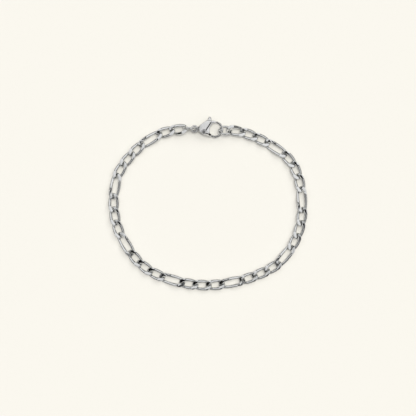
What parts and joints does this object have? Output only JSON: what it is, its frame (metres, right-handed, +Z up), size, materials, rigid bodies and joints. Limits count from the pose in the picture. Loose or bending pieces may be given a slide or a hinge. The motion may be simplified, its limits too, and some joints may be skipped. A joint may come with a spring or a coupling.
{
  "type": "link bracelet",
  "caption": "Flat curb-link chain bracelet of long and short links, fastened in an oval by a lever clasp between two jump rings.",
  "frame": {"origin": "on the surface that the bracelet lies on, under the middle of its bounding box", "axes": "+Z up from that surface; +X along the clasp, from its eye to its hook, which is the long way of the oval; +Y from the middle of the loop towards the clasp"},
  "size_m": [0.0648, 0.0566, 0.0046],
  "materials": {
    "polished_steel": "polished",
    "clasp_steel": "polished, a little softer than the links"
  },
  "bodies": {
    "bracelet": {"short_link_01": "polished_steel", "short_link_02": "polished_steel", "short_link_03": "polished_steel", "long_link_04": "polished_steel", "short_link_05": "polished_steel", "short_link_06": "polished_steel", "short_link_07": "polished_steel", "long_link_08": "polished_steel", "short_link_09": "polished_steel", "short_link_10": "polished_steel", "short_link_11": "polished_steel", "long_link_12": "polished_steel", "short_link_13": "polished_steel", "short_link_14": "polished_steel", "short_link_15": "polished_steel", "long_link_16": "polished_steel", "short_link_17": "polished_steel", "short_link_18": "polished_steel", "short_link_19": "polished_steel", "long_link_20": "polished_steel", "short_link_21": "polished_steel", "short_link_22": "polished_steel", "short_link_23": "polished_steel", "long_link_24": "polished_steel", "short_link_25": "polished_steel", "short_link_26": "polished_steel", "short_link_27": "polished_steel", "long_link_28": "polished_steel", "short_link_29": "polished_steel", "short_link_30": "polished_steel", "short_link_31": "polished_steel", "long_link_32": "polished_steel", "short_link_33": "polished_steel", "short_link_34": "polished_steel", "eye_jump_ring": "polished_steel", "hook_jump_ring": "polished_steel", "clasp_body": "clasp_steel", "clasp_rivet": "clasp_steel"},
    "lever": {"clasp_lever": "clasp_steel"}
  },
  "joints": [
    {"name": "lever_turn", "type": "hinge", "parent": "bracelet", "child": "lever", "pos_m": [-0.00127, 0.0232, 0.0015], "axis": [0, 0, 1], "range_deg": [0, 20], "stiffness_Nm_per_rad": 0.001, "springref_deg": -22.92}
  ]
}
